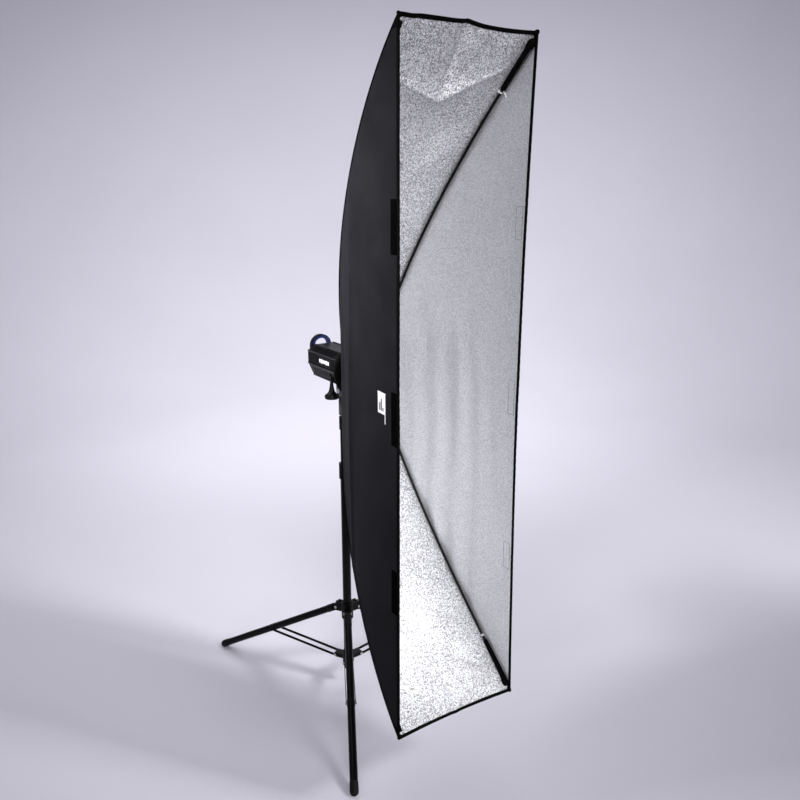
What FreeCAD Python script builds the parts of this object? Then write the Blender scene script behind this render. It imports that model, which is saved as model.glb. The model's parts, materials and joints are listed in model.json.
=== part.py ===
import FreeCAD, Part
import math
import os

# A tall strip softbox on a studio flash head, carried by a three-legged light stand.
# Millimetres, +Z up. The origin is where the stand's column axis meets the floor.
# The softbox opens towards -Y, and its optical axis runs along Y through AXIS_Z.

V = FreeCAD.Vector

# ---- driving dimensions: softbox ----
AXIS_Z = 1040.0          # optical axis above the floor
FRONT_Y = -568.0         # plane of the open front
BOX_HALF_W = 175.0       # half width of the open front
BOX_HALF_H = 800.0       # half height of the open front
ROD_BACK = (53.0, 465.0, 53.0)     # seam at the speed ring: x, depth, z
ROD_BEND_REAR = (122.1, 402.6, 365.3)    # control points that bow the seam
ROD_BEND_FRONT = (175.0, 162.3, 653.6)
BACK_T = 0.03            # where the panels start along the seam
PANEL_STEPS = 12
STATIONS = [BACK_T + (1 - BACK_T) * step / PANEL_STEPS for step in range(PANEL_STEPS + 1)]
SKIN = 1.6               # fabric with its lining
SEAM_GAP = 0.4           # clear line between two panels at a seam
BIND_DEPTH = 3.0         # binding that closes the front edge
ROD_R = 3.5

# ---- driving dimensions: speed ring, measured along the bag's depth ----
RING_FRONT = 466.0
RING_BACK = 478.0
RING_R = 77.0
INSERT_R = 56.0
INSERT_BORE_R = 49.0
INSERT_BACK = 487.0

# ---- driving dimensions: stand ----
BASE_R, MID_R, TOP_R = 13.0, 11.0, 9.5
WALL = 1.2
BASE_FOOT_Z, BASE_TOP_Z = 58.0, 716.0
LOCK_1_Z = (694.0, 741.0)
LOCK_1_R = 16.7
LOCK_2_Z = (846.0, 884.0)
LOCK_2_R = 13.5
MID_BOTTOM_Z, MID_TOP_Z = 172.0, 864.0
TOP_BOTTOM_Z, TOP_TOP_Z = 230.0, 888.0
SPIGOT_R, SPIGOT_TOP_Z = 7.95, 936.0
RUN = 0.05               # radial running clearance

# ---- driving dimensions: legs and braces, in each leg's own radial plane ----
LEG_AZIMUTHS = (122.4, 242.4, 2.4)
YOKE_PIVOT = (36.0, 263.0)       # radius, height
BRACE_PIVOT = (40.0, 95.0)
FOOT_CENTRE = (484.0, 10.2)
LEG_R = 11.0
FOOT_R = 11.7
FOOT_CAP = 24.0                  # length of leg inside the foot
BRACE_REACH = 280.0              # along the leg, from its hinge to the brace
BAR_IN, BAR_OUT = 12.3, 14.3     # each brace bar lies between these, beside the leg
TONGUE_HALF = BAR_IN - 0.4
BAR_HALF_DEPTH = 4.0
PIN_R = 2.5

# ---- driving dimensions: head ----
PIVOT_Z = AXIS_Z - 78.0
HEAD_Y = (-62.0, 112.0)          # shells, between the front casting and the rear panel
CASTING_Y = -72.0
PANEL_Y = 128.0                  # flat face of the rear panel
HEAD_WALL = 2.5
HEAD_HALF = ((30.0, 42.0), (53.0, 27.0), (53.0, -10.0), (36.0, -47.0), (24.0, -56.0))
SPLIT_HIGH, SPLIT_LOW = 27.0, -10.0
REAR_SCALE = 0.82
HANDLE_R = (22.0, 29.9, 33.0)    # grip inside, grip outside, frame outside
HANDLE_Z = 33.0                  # centre of the handle's arch, above the optical axis
BRAKE_XY = (-43.0, -12.0)        # axis of the tilt brake handle
UMBRELLA_Z = -44.0
UMBRELLA_R = 4.1
UMBRELLA_TUBE_R = 5.5


# ---------------------------------------------------------------- helpers
def box(x0, x1, y0, y1, z0, z1):
    return Part.makeBox(x1 - x0, y1 - y0, z1 - z0, V(x0, y0, z0))


def rod(radius, start, end):
    line = V(*end) - V(*start)
    return Part.makeCylinder(radius, line.Length, V(*start), line)


def tube_z(r_out, r_in, z0, z1):
    return rod(r_out, (0, 0, z0), (0, 0, z1)).cut(rod(r_in, (0, 0, z0 - 1), (0, 0, z1 + 1)))


def disc_y(radius, y0, y1, x=0.0, z=0.0):
    """Round piece along Y; x and z are measured from the optical axis."""
    return rod(radius, (x, y0, AXIS_Z + z), (x, y1, AXIS_Z + z))


def ring_y(r_out, r_in, y0, y1):
    return disc_y(r_out, y0, y1).cut(disc_y(r_in, y0 - 1, y1 + 1))


def face(points):
    return Part.Face(Part.makePolygon([V(*p) for p in points] + [V(*points[0])]))


def turned(shape, azimuth):
    copy = shape.copy()
    copy.rotate(V(0, 0, 0), V(0, 0, 1), azimuth)
    return copy


def revolve_z(profile, x, y):
    """Solid of revolution about a vertical axis; profile is (radius, z)."""
    outline = face([(r, 0, z) for r, z in profile])
    solid = outline.revolve(V(0, 0, 0), V(0, 0, 1), 360)
    solid.translate(V(x, y, 0))
    return solid


def solids_of(*shapes):
    return Part.makeCompound([s for shape in shapes for s in shape.Solids])


PARTS = {}


def keep(name, *shapes):
    PARTS[name] = solids_of(*shapes)


# ---------------------------------------------------------------- linkage
def linkage():
    """Sizes of one leg's linkage, spread and folded."""
    run = FOOT_CENTRE[0] - YOKE_PIVOT[0]
    drop = YOKE_PIVOT[1] - FOOT_CENTRE[1]
    spread = math.atan2(run, drop)
    joint = (
        YOKE_PIVOT[0] + BRACE_REACH * math.sin(spread),
        YOKE_PIVOT[1] - BRACE_REACH * math.cos(spread),
    )
    out, up = joint[0] - BRACE_PIVOT[0], joint[1] - BRACE_PIVOT[1]
    brace = math.hypot(out, up)
    folded = math.radians(3.0)
    folded_out = YOKE_PIVOT[0] + BRACE_REACH * math.sin(folded) - BRACE_PIVOT[0]
    folded_up = math.sqrt(brace ** 2 - folded_out ** 2)
    travel = BRACE_PIVOT[1] + folded_up + BRACE_REACH * math.cos(folded) - YOKE_PIVOT[1]
    return {
        "leg": math.hypot(run, drop),
        "spread": spread,
        "folded": folded,
        "brace": brace,
        "brace_spread": math.atan2(out, up),
        "brace_folded": math.atan2(folded_out, folded_up),
        "travel": travel,
    }


LINK = linkage()


def leg_point(distance):
    """Point on the leg's axis at a distance from its hinge, in the radial plane."""
    x = YOKE_PIVOT[0] + distance * math.sin(LINK["spread"])
    z = YOKE_PIVOT[1] - distance * math.cos(LINK["spread"])
    return (x, 0, z)


# ---------------------------------------------------------------- stand
def knob(azimuth, z, tip, seat, end, radius):
    """Lobed clamp knob with its stud, along a horizontal radius."""
    body = rod(radius, (seat, 0, 0), (end, 0, 0))
    body = body.fuse(rod(radius * 0.6, (seat - 2, 0, 0), (seat, 0, 0)))
    for lobe in range(6):
        angle = lobe * math.pi / 3
        y, h = 1.25 * radius * math.cos(angle), 1.25 * radius * math.sin(angle)
        body = body.cut(rod(radius * 0.45, (seat + 2, y, h), (end + 1, y, h)))
    body = body.fuse(rod(3.0, (tip, 0, 0), (seat, 0, 0))).removeSplitter()
    body.translate(V(0, 0, z))
    return turned(body, azimuth)


def collar_boss(azimuth, z, r_in, r_out):
    """Boss on a collar that takes a knob's stud."""
    return turned(rod(7.0, (r_in, 0, z), (r_out, 0, z)), azimuth)


def stud_hole(azimuth, z, reach):
    return turned(rod(3.0 + RUN, (0, 0, z), (reach, 0, z)), azimuth)


LOCK_AZIMUTH = -30.0
YOKE_KNOB_AZIMUTH = 62.4
SOCKET_KNOB_AZIMUTH = 0.0
LOCK_1_KNOB_Z = 730.0
LOCK_2_KNOB_Z = 875.0
YOKE_KNOB_Z = 243.0
SOCKET_KNOB_Z = 912.0


def column():
    keep("base_tube", tube_z(BASE_R, BASE_R - WALL, BASE_FOOT_Z, BASE_TOP_Z))
    plug = rod(BASE_R - WALL, (0, 0, BASE_FOOT_Z), (0, 0, BASE_FOOT_Z + 14))
    plug = plug.fuse(rod(BASE_R, (0, 0, BASE_FOOT_Z - 4), (0, 0, BASE_FOOT_Z)))
    keep("base_plug", plug.removeSplitter())
    keep("mid_tube", tube_z(MID_R, MID_R - WALL, MID_BOTTOM_Z, MID_TOP_Z))
    keep("top_tube", tube_z(TOP_R, TOP_R - WALL, TOP_BOTTOM_Z, TOP_TOP_Z))
    spigot = rod(TOP_R - WALL, (0, 0, TOP_TOP_Z - 20), (0, 0, TOP_TOP_Z))
    spigot = spigot.fuse(rod(TOP_R, (0, 0, TOP_TOP_Z), (0, 0, TOP_TOP_Z + 2)))
    stem = rod(SPIGOT_R, (0, 0, TOP_TOP_Z + 2), (0, 0, SPIGOT_TOP_Z))
    neck = tube_z(SPIGOT_R + 1, SPIGOT_R - 1, SOCKET_KNOB_Z - 6, SOCKET_KNOB_Z + 6)
    keep("top_spigot", spigot.fuse(stem.cut(neck)).removeSplitter())


def lock_collar(r_out, r_low, r_high, span, step_z, knob_z):
    """Collar fixed on one tube's end, with a running bore for the tube above."""
    body = rod(r_out, (0, 0, span[0]), (0, 0, span[1]))
    for groove in range(5):
        z = span[0] + 4 + 3.2 * groove
        body = body.cut(tube_z(r_out + 1, r_out - 0.8, z, z + 1.4))
    body = body.fuse(collar_boss(LOCK_AZIMUTH, knob_z, r_high, r_out + 4))
    body = body.cut(rod(r_low, (0, 0, span[0] - 1), (0, 0, step_z)))
    body = body.cut(rod(r_high + RUN, (0, 0, step_z), (0, 0, span[1] + 1)))
    return body.cut(stud_hole(LOCK_AZIMUTH, knob_z, r_out + 10)).removeSplitter()


def locks():
    low = lock_collar(LOCK_1_R, BASE_R, MID_R, LOCK_1_Z, BASE_TOP_Z, LOCK_1_KNOB_Z)
    keep("lock_collar_1", low)
    seat = LOCK_1_R + 4.4
    first = knob(LOCK_AZIMUTH, LOCK_1_KNOB_Z, MID_R + 0.4, seat + 2, seat + 20, 11.0)
    keep("lock_knob_1", first)
    high = lock_collar(LOCK_2_R, MID_R, TOP_R, LOCK_2_Z, MID_TOP_Z, LOCK_2_KNOB_Z)
    keep("lock_collar_2", high)
    seat = LOCK_2_R + 4.4
    second = knob(LOCK_AZIMUTH, LOCK_2_KNOB_Z, TOP_R + 0.4, seat + 2, seat + 18, 9.0)
    keep("lock_knob_2", second)


def pivot_pin(radius_at, height, half_length):
    """Headed pin across the radial plane."""
    x, z = radius_at, height
    shank = rod(PIN_R, (x, -half_length, z), (x, half_length, z))
    for side in (-1, 1):
        head = rod(4.2, (x, side * half_length, z), (x, side * (half_length + 1.5), z))
        shank = shank.fuse(head)
    return shank.removeSplitter()


def leg_yoke():
    """Sliding collar with three forks that carry the legs."""
    r, z = YOKE_PIVOT
    yoke = rod(18.0, (0, 0, z - 31), (0, 0, z + 20))
    for azimuth in LEG_AZIMUTHS:
        fork = box(10, r, -11, 11, z - 10, z + 18)
        fork = fork.fuse(rod(8.0, (r, -11, z), (r, 11, z)))
        fork = fork.fuse(box(r, r + 8, -11, 11, z, z + 12))
        fork = fork.cut(box(22, r + 12, -7.4, 7.4, z - 12, z + 20))
        fork = fork.cut(rod(PIN_R, (r, -12, z), (r, 12, z)))
        yoke = yoke.fuse(turned(fork, azimuth))
    yoke = yoke.fuse(collar_boss(YOKE_KNOB_AZIMUTH, YOKE_KNOB_Z, BASE_R, 24))
    yoke = yoke.cut(rod(BASE_R + RUN, (0, 0, z - 40), (0, 0, z + 40)))
    yoke = yoke.cut(stud_hole(YOKE_KNOB_AZIMUTH, YOKE_KNOB_Z, 40)).removeSplitter()
    keep("leg_yoke", yoke)
    pins = [turned(pivot_pin(r, z, 11.0), a) for a in LEG_AZIMUTHS]
    keep("yoke_pins", *pins)
    keep("yoke_knob", knob(YOKE_KNOB_AZIMUTH, YOKE_KNOB_Z, BASE_R + 0.4, 26.4, 46.0, 11.0))


def lower_collar():
    """Fixed collar with three tongues that carry the braces."""
    r, z = BRACE_PIVOT
    collar = rod(17.5, (0, 0, z - 29), (0, 0, z + 17))
    for azimuth in LEG_AZIMUTHS:
        tongue = box(10, r, -TONGUE_HALF, TONGUE_HALF, z - 7, z + 7)
        tongue = tongue.fuse(rod(7, (r, -TONGUE_HALF, z), (r, TONGUE_HALF, z)))
        tongue = tongue.cut(rod(PIN_R, (r, -BAR_IN, z), (r, BAR_IN, z)))
        collar = collar.fuse(turned(tongue, azimuth))
    collar = collar.cut(rod(BASE_R, (0, 0, z - 40), (0, 0, z + 40))).removeSplitter()
    keep("lower_collar", collar)
    keep("brace_pins", *[turned(pivot_pin(r, z, BAR_OUT + 0.3), a) for a in LEG_AZIMUTHS])


def leg(index, azimuth):
    """One leg: its tube, the fittings on it, and the rubber foot."""
    name = "leg_%d" % index
    bottom = LINK["leg"] - 14
    length = LINK["leg"]
    tube = rod(LEG_R, leg_point(18), leg_point(bottom))
    tube = tube.cut(rod(LEG_R - WALL, leg_point(30), leg_point(bottom + 1)))
    keep(name + "_tube", turned(tube, azimuth))
    hinge = (YOKE_PIVOT[0], YOKE_PIVOT[1])
    eye = rod(7.5, (hinge[0], -7, hinge[1]), (hinge[0], 7, hinge[1]))
    neck = rod(6.5, leg_point(2), leg_point(18))
    shroud = rod(LEG_R + 0.8, leg_point(14), leg_point(38))
    fitting = eye.fuse(neck).fuse(shroud).cut(rod(LEG_R, leg_point(18), leg_point(60)))
    hole = rod(PIN_R + RUN, (hinge[0], -9, hinge[1]), (hinge[0], 9, hinge[1]))
    fitting = fitting.cut(hole).removeSplitter()
    clip = rod(LEG_R + 0.6, leg_point(BRACE_REACH - 9), leg_point(BRACE_REACH + 9))
    clip = clip.cut(rod(LEG_R, leg_point(BRACE_REACH - 10), leg_point(BRACE_REACH + 10)))
    keep(name + "_fittings", turned(fitting, azimuth), turned(clip, azimuth))
    cap = rod(FOOT_R, leg_point(length - FOOT_CAP), leg_point(length))
    cap = cap.fuse(Part.makeSphere(FOOT_R, V(*leg_point(length))))
    cap = cap.cut(rod(LEG_R, leg_point(length - 40), leg_point(bottom)))
    cap = cap.cut(box(300, 600, -50, 50, -50, 0)).removeSplitter()
    keep(name + "_foot", turned(cap, azimuth))


def brace(index, azimuth):
    """One brace: a pair of flat bars with a rivet at the outer end of each."""
    x0, z0 = BRACE_PIVOT
    x1, _, z1 = leg_point(BRACE_REACH)
    along = V(x1 - x0, 0, z1 - z0)
    along.normalize()
    across = V(-along.z, 0, along.x) * BAR_HALF_DEPTH
    pieces = []
    for side in (-1, 1):
        inner, outer = side * BAR_IN, side * BAR_OUT
        corners = [V(x0, inner, z0) + across, V(x1, inner, z1) + across]
        corners += [V(x1, inner, z1) - across, V(x0, inner, z0) - across]
        flat = face([(c.x, c.y, c.z) for c in corners])
        bar = flat.extrude(V(0, outer - inner, 0))
        bar = bar.fuse(rod(BAR_HALF_DEPTH, (x0, inner, z0), (x0, outer, z0)))
        bar = bar.fuse(rod(BAR_HALF_DEPTH, (x1, inner, z1), (x1, outer, z1)))
        low, high = min(inner, outer) - 1, max(inner, outer) + 1
        bar = bar.cut(rod(PIN_R + RUN, (x0, low, z0), (x0, high, z0)))
        bar = bar.cut(rod(1.8, (x1, low, z1), (x1, high, z1))).removeSplitter()
        rivet = rod(1.8, (x1, inner, z1), (x1, outer, z1))
        rivet = rivet.fuse(rod(3.4, (x1, outer, z1), (x1, outer + side * 1.3, z1)))
        pieces += [bar, rivet.removeSplitter()]
    keep("brace_%d" % index, *[turned(p, azimuth) for p in pieces])


# ---------------------------------------------------------------- tilt bracket
def bracket():
    """Socket that sits on the spigot, with the tongue of the tilt hinge."""
    low = TOP_TOP_Z + 2.4
    cap_z = SPIGOT_TOP_Z + 1
    sleeve = rod(13.5, (0, 0, low), (0, 0, cap_z + 6))
    tongue = box(-8.6, 8.6, -13, 13, cap_z, PIVOT_Z)
    tongue = tongue.fuse(rod(16.0, (-8.6, 0, PIVOT_Z), (8.6, 0, PIVOT_Z)))
    socket = sleeve.fuse(tongue)
    socket = socket.fuse(collar_boss(SOCKET_KNOB_AZIMUTH, SOCKET_KNOB_Z, SPIGOT_R + 2, 18))
    socket = socket.cut(rod(SPIGOT_R + RUN, (0, 0, low - 1), (0, 0, cap_z)))
    socket = socket.cut(rod(4 + RUN, (-20, 0, PIVOT_Z), (20, 0, PIVOT_Z)))
    socket = socket.cut(stud_hole(SOCKET_KNOB_AZIMUTH, SOCKET_KNOB_Z, 30)).removeSplitter()
    keep("stand_socket", socket)
    screw = knob(SOCKET_KNOB_AZIMUTH, SOCKET_KNOB_Z, SPIGOT_R + 0.4, 20.4, 38.0, 9.0)
    keep("socket_knob", screw)


def tilt_hinge():
    """Fork under the head, its bolt, and the conical brake handle."""
    bottom = AXIS_Z + HEAD_HALF[-1][1]
    fork = box(-13, 13, -24, 24, bottom - 4, bottom)
    for side in (-1, 1):
        x0, x1 = sorted((side * 9.0, side * 13.0))
        cheek = rod(17.0, (x0, 0, PIVOT_Z), (x1, 0, PIVOT_Z))
        fork = fork.fuse(cheek).fuse(box(x0, x1, -17, 17, PIVOT_Z, bottom - 4))
    fork = fork.cut(rod(4.0, (-20, 0, PIVOT_Z), (20, 0, PIVOT_Z))).removeSplitter()
    keep("tilt_fork", fork)
    bolt = rod(4.0, (-13, 0, PIVOT_Z), (13, 0, PIVOT_Z))
    for x0, x1 in ((-16.5, -13.0), (13.0, 16.5)):
        bolt = bolt.fuse(rod(7.0, (x0, 0, PIVOT_Z), (x1, 0, PIVOT_Z)))
    keep("tilt_bolt", bolt.removeSplitter())
    profile = [(0, -14), (3, -14), (3, -33), (3.3, -38), (6, -60), (9, -73), (14, -79)]
    profile += [(20, -83), (21, -88), (19, -93), (12, -95), (0, -95)]
    handle = revolve_z([(r, AXIS_Z + z) for r, z in profile], *BRAKE_XY)
    keep("tilt_handle", handle)


# ---------------------------------------------------------------- head
def head_outline(scale=1.0, inset=0.0):
    """Closed outline of the head's section, clockwise from the top right."""
    centre = -7.0
    right = []
    for x, z in HEAD_HALF:
        length = math.hypot(x, z - centre)
        shrink = scale * (1 - inset / length)
        right.append((x * shrink, centre + (z - centre) * shrink))
    left = [(-x, z) for x, z in reversed(right)]
    return right + left


def head_prism(y0, y1, inset=0.0):
    outline = face([(x, y0, AXIS_Z + z) for x, z in head_outline(1.0, inset)])
    return outline.extrude(V(0, y1 - y0, 0))


def vent_slots():
    """Slots through the four bevels of the head."""
    slots = []
    for side in (-1, 1):
        for x, z, lean in ((41.5, 34.5, 33.1), (44.5, -28.5, -65.3)):
            for row in range(12):
                y = -30 + row * 10.5
                slot = box(-9, 9, y, y + 4, -6, 6)
                slot.rotate(V(0, 0, 0), V(0, 1, 0), side * lean)
                slot.translate(V(side * x, 0, AXIS_Z + z))
                if side < 0 and z < 0 and abs(y + 2 - BRAKE_XY[1]) < 14:
                    continue
                slots.append(slot)
    return Part.makeCompound(slots)


def head_shells():
    shell = head_prism(*HEAD_Y).cut(head_prism(HEAD_Y[0] - 1, HEAD_Y[1] + 1, HEAD_WALL))
    high, low = AXIS_Z + SPLIT_HIGH, AXIS_Z + SPLIT_LOW
    slots = vent_slots()
    keep("head_top_cover", shell.common(box(-90, 90, -90, 140, high, high + 60)).cut(slots))
    sides = shell.common(box(-90, 90, -90, 140, low, high))
    keep("head_side_panels", sides)
    bottom = shell.common(box(-90, 90, -90, 140, low - 90, low)).cut(slots)
    bx, by = BRAKE_XY
    boss = rod(6.5, (bx, by, AXIS_Z - 27), (bx, by, AXIS_Z - 13))
    bottom = bottom.fuse(boss)
    bottom = bottom.cut(rod(3 + RUN, (bx, by, AXIS_Z - 30), (bx, by, AXIS_Z - 5)))
    bottom = bottom.cut(rod(4.4, (bx, by, AXIS_Z - 60), (bx, by, AXIS_Z - 26)))
    keep("head_bottom_shell", bottom.removeSplitter())


def head_front():
    """Casting that closes the head, with the bayonet ring and the light source."""
    casting = head_prism(CASTING_Y, HEAD_Y[0])
    casting = casting.cut(disc_y(UMBRELLA_TUBE_R, -90, 0, 0, UMBRELLA_Z))
    keep("front_casting", casting)
    insert_back = FRONT_Y + INSERT_BACK
    keep("mount_ring", ring_y(60, 45, insert_back, CASTING_Y))
    top = AXIS_Z + HEAD_HALF[0][1]
    slider = box(-9, 9, -71, -59, top + 0.4, top + 3)
    slider = slider.fuse(box(-7, 7, -67, -64, top + 3, top + 6))
    keep("bayonet_slider", slider.removeSplitter())
    shell = disc_y(38, -100, CASTING_Y)
    shell = shell.fuse(Part.makeSphere(38, V(0, -100, AXIS_Z)))
    hollow = disc_y(36, -100, CASTING_Y + 1)
    hollow = hollow.fuse(Part.makeSphere(36, V(0, -100, AXIS_Z)))
    trim = box(-50, 50, CASTING_Y, 0, AXIS_Z - 50, AXIS_Z + 50)
    keep("glass_dome", shell.cut(hollow).cut(trim).removeSplitter())
    coil = Part.makeTorus(24, 4, V(0, -92, AXIS_Z), V(0, 1, 0))
    for side in (-1, 1):
        coil = coil.fuse(disc_y(3.5, -92, CASTING_Y, 24 * side))
    keep("flash_tube", coil.removeSplitter())
    lamp = disc_y(9, -84, CASTING_Y).fuse(disc_y(7, -106, -84))
    lamp = lamp.fuse(Part.makeSphere(7, V(0, -106, AXIS_Z)))
    keep("modelling_lamp", lamp.removeSplitter())


DIAL_POWER = (17.0, -2.0)
DIAL_LAMP = (-9.0, -2.0)
BUTTON_TEST = (-33.0, 8.0)
BUTTON_MODE = (-33.0, -6.0)
ROCKER = (-24.0, -27.0)
ROCKER_Y = PANEL_Y - 2.0
INLET = (11.0, -25.5)
SYNC = (33.5, -15.0)
SENSOR = (33.5, 2.0)
DISPLAY = (0.0, 19.0)


def head_rear():
    """Rear panel, with openings for the controls that it carries."""
    wires = []
    for y, scale in ((HEAD_Y[1], 1.0), (PANEL_Y, REAR_SCALE)):
        points = [V(x, y, AXIS_Z + z) for x, z in head_outline(scale)]
        wires.append(Part.makePolygon(points + [points[0]]))
    panel = Part.makeLoft(wires, True, True)
    pocket = face([(x, HEAD_Y[1] - 1, AXIS_Z + z) for x, z in head_outline(0.76)])
    panel = panel.cut(pocket.extrude(V(0, PANEL_Y - 4 - HEAD_Y[1] + 1, 0)))
    for x, z in (DIAL_POWER, DIAL_LAMP):
        panel = panel.cut(disc_y(3 + RUN, 110, 140, x, z))
    for x, z in (BUTTON_TEST, BUTTON_MODE):
        panel = panel.cut(disc_y(5.4, 110, 140, x, z))
    x, z = ROCKER
    panel = panel.cut(box(x - 7.4, x + 7.4, 110, 140, AXIS_Z + z - 11.4, AXIS_Z + z + 11.4))
    panel = panel.cut(rocker_pin(1.5 + RUN, 9.5))
    x, z = INLET
    panel = panel.cut(box(x - 13.5, x + 13.5, 110, 140, AXIS_Z + z - 9.5, AXIS_Z + z + 9.5))
    panel = panel.cut(disc_y(5, 110, 140, *SYNC)).cut(disc_y(5, 110, 140, *SENSOR))
    x, z = DISPLAY
    panel = panel.cut(box(x - 16, x + 16, 126, 140, AXIS_Z + z - 6, AXIS_Z + z + 6))
    panel = panel.cut(disc_y(UMBRELLA_TUBE_R, 110, 140, 0, UMBRELLA_Z))
    keep("rear_panel", panel.removeSplitter())


def rear_fittings():
    x, z = INLET
    inlet = box(x - 13.5, x + 13.5, 118, 129.5, AXIS_Z + z - 9.5, AXIS_Z + z + 9.5)
    inlet = inlet.cut(box(x - 11, x + 11, 120, 140, AXIS_Z + z - 7, AXIS_Z + z + 7))
    for dx, dz in ((-6, -1.5), (6, -1.5), (0, 2.5)):
        inlet = inlet.fuse(disc_y(1.5, 120, 128, x + dx, z + dz))
    sync = disc_y(5, 120, 129.5, *SYNC).cut(disc_y(3.2, 122, 140, *SYNC))
    sensor = disc_y(5, 122, 129, *SENSOR)
    dome = Part.makeSphere(5, V(SENSOR[0], 129, AXIS_Z + SENSOR[1]))
    sensor = sensor.fuse(dome).removeSplitter()
    x, z = DISPLAY
    window = box(x - 16, x + 16, 126, 127.6, AXIS_Z + z - 6, AXIS_Z + z + 6)
    keep("rear_fittings", inlet.removeSplitter(), sync, sensor, window)


def rocker_pin(radius, reach):
    x, z = ROCKER
    return rod(radius, (x - reach, ROCKER_Y, AXIS_Z + z), (x + reach, ROCKER_Y, AXIS_Z + z))


def dial(x, z, radius):
    body = disc_y(radius, PANEL_Y + 0.5, PANEL_Y + 10, x, z)
    for flute in range(12):
        angle = flute * math.pi / 6
        dx, dz = 1.08 * radius * math.cos(angle), 1.08 * radius * math.sin(angle)
        body = body.cut(disc_y(radius * 0.16, PANEL_Y + 3, PANEL_Y + 11, x + dx, z + dz))
    body = body.fuse(disc_y(3, PANEL_Y - 6, PANEL_Y + 1, x, z))
    mark = box(x - 0.6, x + 0.6, PANEL_Y + 9.2, PANEL_Y + 11, AXIS_Z + z, AXIS_Z + z + 12)
    return body.cut(mark).removeSplitter()


def controls():
    keep("dial_power", dial(*DIAL_POWER, 11.0))
    keep("dial_lamp", dial(*DIAL_LAMP, 9.0))
    keep("button_test", disc_y(5, PANEL_Y - 5, PANEL_Y + 3, *BUTTON_TEST))
    keep("button_mode", disc_y(5, PANEL_Y - 5, PANEL_Y + 3, *BUTTON_MODE))
    x, z = ROCKER
    y = ROCKER_Y
    section = [(y - 2, -9), (y + 4.2, -10), (y + 2.6, 0), (y + 4.2, 10), (y - 2, 9)]
    rocker = face([(x - 7, py, AXIS_Z + z + pz) for py, pz in section])
    rocker = rocker.extrude(V(14, 0, 0)).fuse(rocker_pin(1.5, 9.0)).removeSplitter()
    rocker.rotate(V(x, y, AXIS_Z + z), V(1, 0, 0), 6)
    keep("rocker_switch", rocker)


def carry_handle():
    """Arch across the rear, with a soft grip inside a stiff frame."""
    grip_in, grip_out, frame_out = HANDLE_R
    centre = HANDLE_Z
    y0, y1 = PANEL_Y, PANEL_Y + 12
    above = box(-60, 60, y0, y1, AXIS_Z + centre, AXIS_Z + centre + 60)

    def arch(outer, inner):
        band = disc_y(outer, y0, y1, 0, centre).cut(disc_y(inner, y0, y1, 0, centre))
        return band.common(above)

    frame = arch(frame_out, grip_out)
    for side in (-1, 1):
        x0, x1 = sorted((side * grip_in, side * frame_out))
        frame = frame.fuse(box(x0, x1, y0, y1, AXIS_Z + 20, AXIS_Z + centre))
    keep("handle_frame", frame.removeSplitter())
    keep("handle_grip", arch(grip_out, grip_in))


def head_inside():
    tube = disc_y(UMBRELLA_TUBE_R, CASTING_Y, PANEL_Y, 0, UMBRELLA_Z)
    bore = disc_y(UMBRELLA_R, CASTING_Y - 1, PANEL_Y + 1, 0, UMBRELLA_Z)
    keep("umbrella_tube", tube.cut(bore))
    board = box(-42, 42, -50, 105, AXIS_Z + 10, AXIS_Z + 11.6)
    cans = [disc_y(13, 0, 90, x, -20) for x in (-14.5, 14.5)]
    keep("flash_board", board, *cans)


# ---------------------------------------------------------------- speed ring
def ring_parts():
    front, back = FRONT_Y + RING_FRONT, FRONT_Y + RING_BACK
    ring = ring_y(RING_R, INSERT_R, front, back)
    for side_x in (-1, 1):
        for side_z in (-1, 1):
            foot = box(43, 54.5, front - 11, front, 43, 57)
            foot.translate(V(0, 0, AXIS_Z))
            start, heading = seam_rod_start()
            boss = rod(5.4, tuple(start - heading * 4), tuple(start + heading * 20))
            foot = foot.fuse(boss)
            ring = ring.fuse(mirrored(foot, side_x, side_z))
    ring = ring.cut(stud_hole_ring())
    for side_x in (-1, 1):
        for side_z in (-1, 1):
            ring = ring.cut(mirrored(seam_rod(), side_x, side_z))
    keep("speed_ring", ring.removeSplitter())
    insert = ring_y(INSERT_R - RUN, INSERT_BORE_R, front - 3, FRONT_Y + INSERT_BACK)
    insert = insert.fuse(ring_y(62, INSERT_BORE_R, back + 0.5, FRONT_Y + INSERT_BACK))
    keep("ring_insert", insert.removeSplitter())
    screw = knob(0, 0, INSERT_R + 0.4, RING_R + 2.6, RING_R + 20, 6.0)
    screw.rotate(V(0, 0, 0), V(0, 1, 0), -90)
    screw.translate(V(0, (front + back) / 2, AXIS_Z))
    keep("ring_screw", screw)


def stud_hole_ring():
    y = FRONT_Y + (RING_FRONT + RING_BACK) / 2
    return rod(3 + RUN, (0, y, AXIS_Z + INSERT_R - 2), (0, y, AXIS_Z + RING_R + 5))


# ---------------------------------------------------------------- fabric bag
def bezier(t, controls):
    """Point of a cubic curve through the first and last of four controls."""
    weights = ((1 - t) ** 3, 3 * t * (1 - t) ** 2, 3 * t ** 2 * (1 - t), t ** 3)
    return [sum(w * c[i] for w, c in zip(weights, controls)) for i in range(3)]


def seam(t):
    """Outer corner of the bag: half width, y and half height."""
    corner = (BOX_HALF_W, 0.0, BOX_HALF_H)
    x, depth, z = bezier(t, (ROD_BACK, ROD_BEND_REAR, ROD_BEND_FRONT, corner))
    return x, max(FRONT_Y + depth, FRONT_Y + BIND_DEPTH), z


def seam_slope(t):
    ahead, behind = seam(min(t + 0.01, 1.0)), seam(max(t - 0.01, 0.0))
    return [a - b for a, b in zip(ahead, behind)]


def inward(run, step_y):
    """Unit normal that points into the bag, as (across, y)."""
    length = math.hypot(run, step_y)
    return step_y / length, -run / length


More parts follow.
